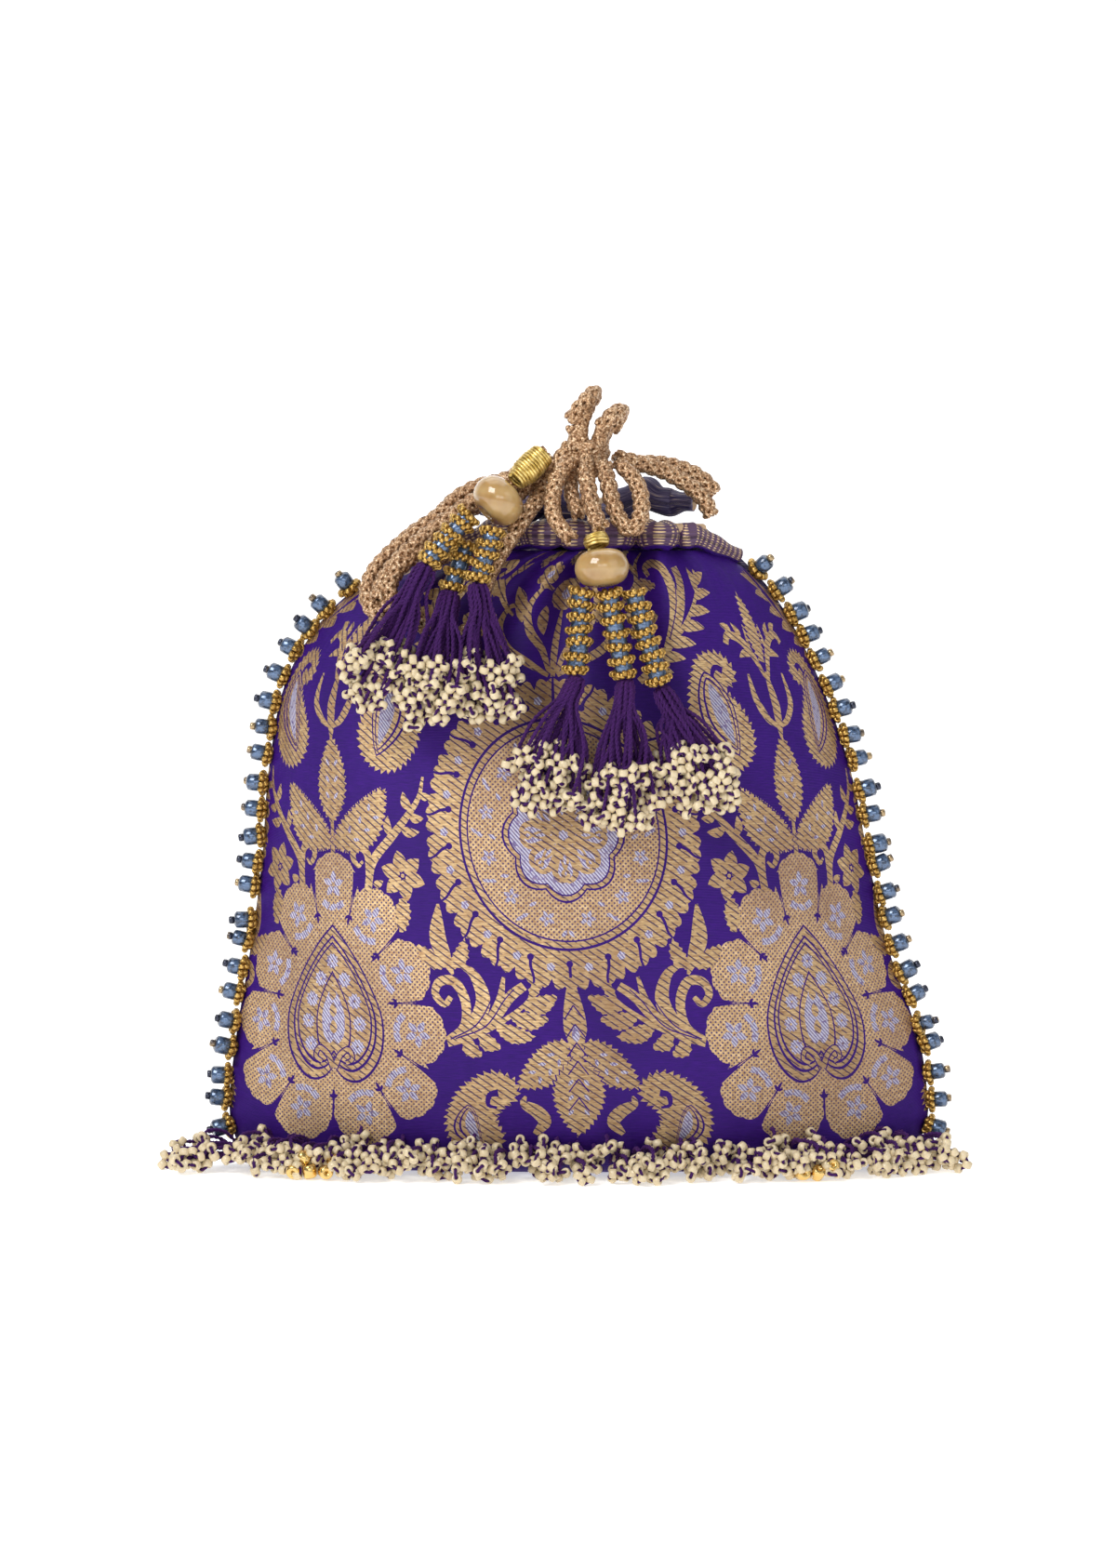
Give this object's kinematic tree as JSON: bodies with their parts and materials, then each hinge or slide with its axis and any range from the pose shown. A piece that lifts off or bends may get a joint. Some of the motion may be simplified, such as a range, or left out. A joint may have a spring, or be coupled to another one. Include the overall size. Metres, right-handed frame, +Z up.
{
  "type": "potli bag",
  "caption": "Gathered drawstring pouch of brocade cloth with beaded side edging, a beaded bottom fringe, and tasselled cord ends tied in a bow over the mouth.",
  "frame": {"origin": "middle of the base, on the surface that the bag stands on, at the bottom seam", "axes": "+X to the right along the bag's width, -Y out of the front, +Z up"},
  "size_m": [0.2396, 0.0867, 0.2349],
  "materials": {
    "brocade": "satin weave silk with metallic pattern",
    "hem_facing": "ribbed metallic weave",
    "lining": "reverse of the brocade",
    "metallic_cord": "braided metallic yarn",
    "wound_thread": "wound metallic thread",
    "honey_stone": "polished translucent stone",
    "gold_seed_beads": "metallic coated glass",
    "blue_beads": "glossy glass",
    "purple_thread": "twisted matt thread",
    "cream_seed_beads": "opaque glass"
  },
  "bodies": {
    "bag": {"back_panel": "brocade", "bead_edging_left": "gold_seed_beads", "bead_edging_right": "gold_seed_beads", "bow_knot": "metallic_cord", "casing_back": "hem_facing", "casing_front": "hem_facing", "drawstring_in_casing_back": "metallic_cord", "drawstring_in_casing_front": "metallic_cord", "drawstring_left": "metallic_cord", "drawstring_right": "metallic_cord", "drawstring_right_rear": "metallic_cord", "ear_loop_left": "metallic_cord", "fringe_tassel_1": "cream_seed_beads", "fringe_tassel_2": "cream_seed_beads", "fringe_tassel_3": "cream_seed_beads", "fringe_tassel_4": "cream_seed_beads", "fringe_tassel_5": "cream_seed_beads", "fringe_tassel_6": "cream_seed_beads", "fringe_tassel_7": "cream_seed_beads", "fringe_tassel_8": "cream_seed_beads", "fringe_tassel_9": "cream_seed_beads", "front_panel": "brocade", "hanging_loop": "metallic_cord", "hanging_strand_1": "metallic_cord", "hanging_strand_2": "metallic_cord", "tassel_a_neck": "wound_thread", "top_loop_short": "metallic_cord", "top_loop_tall": "metallic_cord"},
    "tassel_b_neck": {"tassel_b_neck": "wound_thread"},
    "tassel_b": {"tassel_b_seed_beads_1": "cream_seed_beads", "tassel_b_seed_beads_2": "cream_seed_beads", "tassel_b_seed_beads_3": "cream_seed_beads", "tassel_b_stone_bead": "honey_stone", "tassel_b_strand_1": "gold_seed_beads", "tassel_b_strand_2": "gold_seed_beads", "tassel_b_strand_3": "gold_seed_beads", "tassel_b_threads_1": "purple_thread", "tassel_b_threads_2": "purple_thread", "tassel_b_threads_3": "purple_thread"},
    "tassel_a": {"tassel_a_seed_beads_1": "cream_seed_beads", "tassel_a_seed_beads_2": "cream_seed_beads", "tassel_a_seed_beads_3": "cream_seed_beads", "tassel_a_stone_bead": "honey_stone", "tassel_a_strand_1": "gold_seed_beads", "tassel_a_strand_2": "gold_seed_beads", "tassel_a_strand_3": "gold_seed_beads", "tassel_a_threads_1": "purple_thread", "tassel_a_threads_2": "purple_thread", "tassel_a_threads_3": "purple_thread"}
  },
  "joints": [
    {"name": "tassel_b_swing", "type": "hinge", "parent": "bag", "child": "tassel_b_neck", "pos_m": [0.0048, -0.036, 0.1912], "axis": [0, 1, 0], "range_deg": [-12, 1]},
    {"name": "tassel_b_lift", "type": "hinge", "parent": "tassel_b_neck", "child": "tassel_b", "pos_m": [0.0056, -0.0366, 0.1866], "axis": [-1, 0, 0], "range_deg": [0, 28]},
    {"name": "tassel_a_lift", "type": "hinge", "parent": "bag", "child": "tassel_a", "pos_m": [-0.0204, -0.0262, 0.2048], "axis": [-0.7659, 0, 0.6429], "range_deg": [0, 24]}
  ]
}
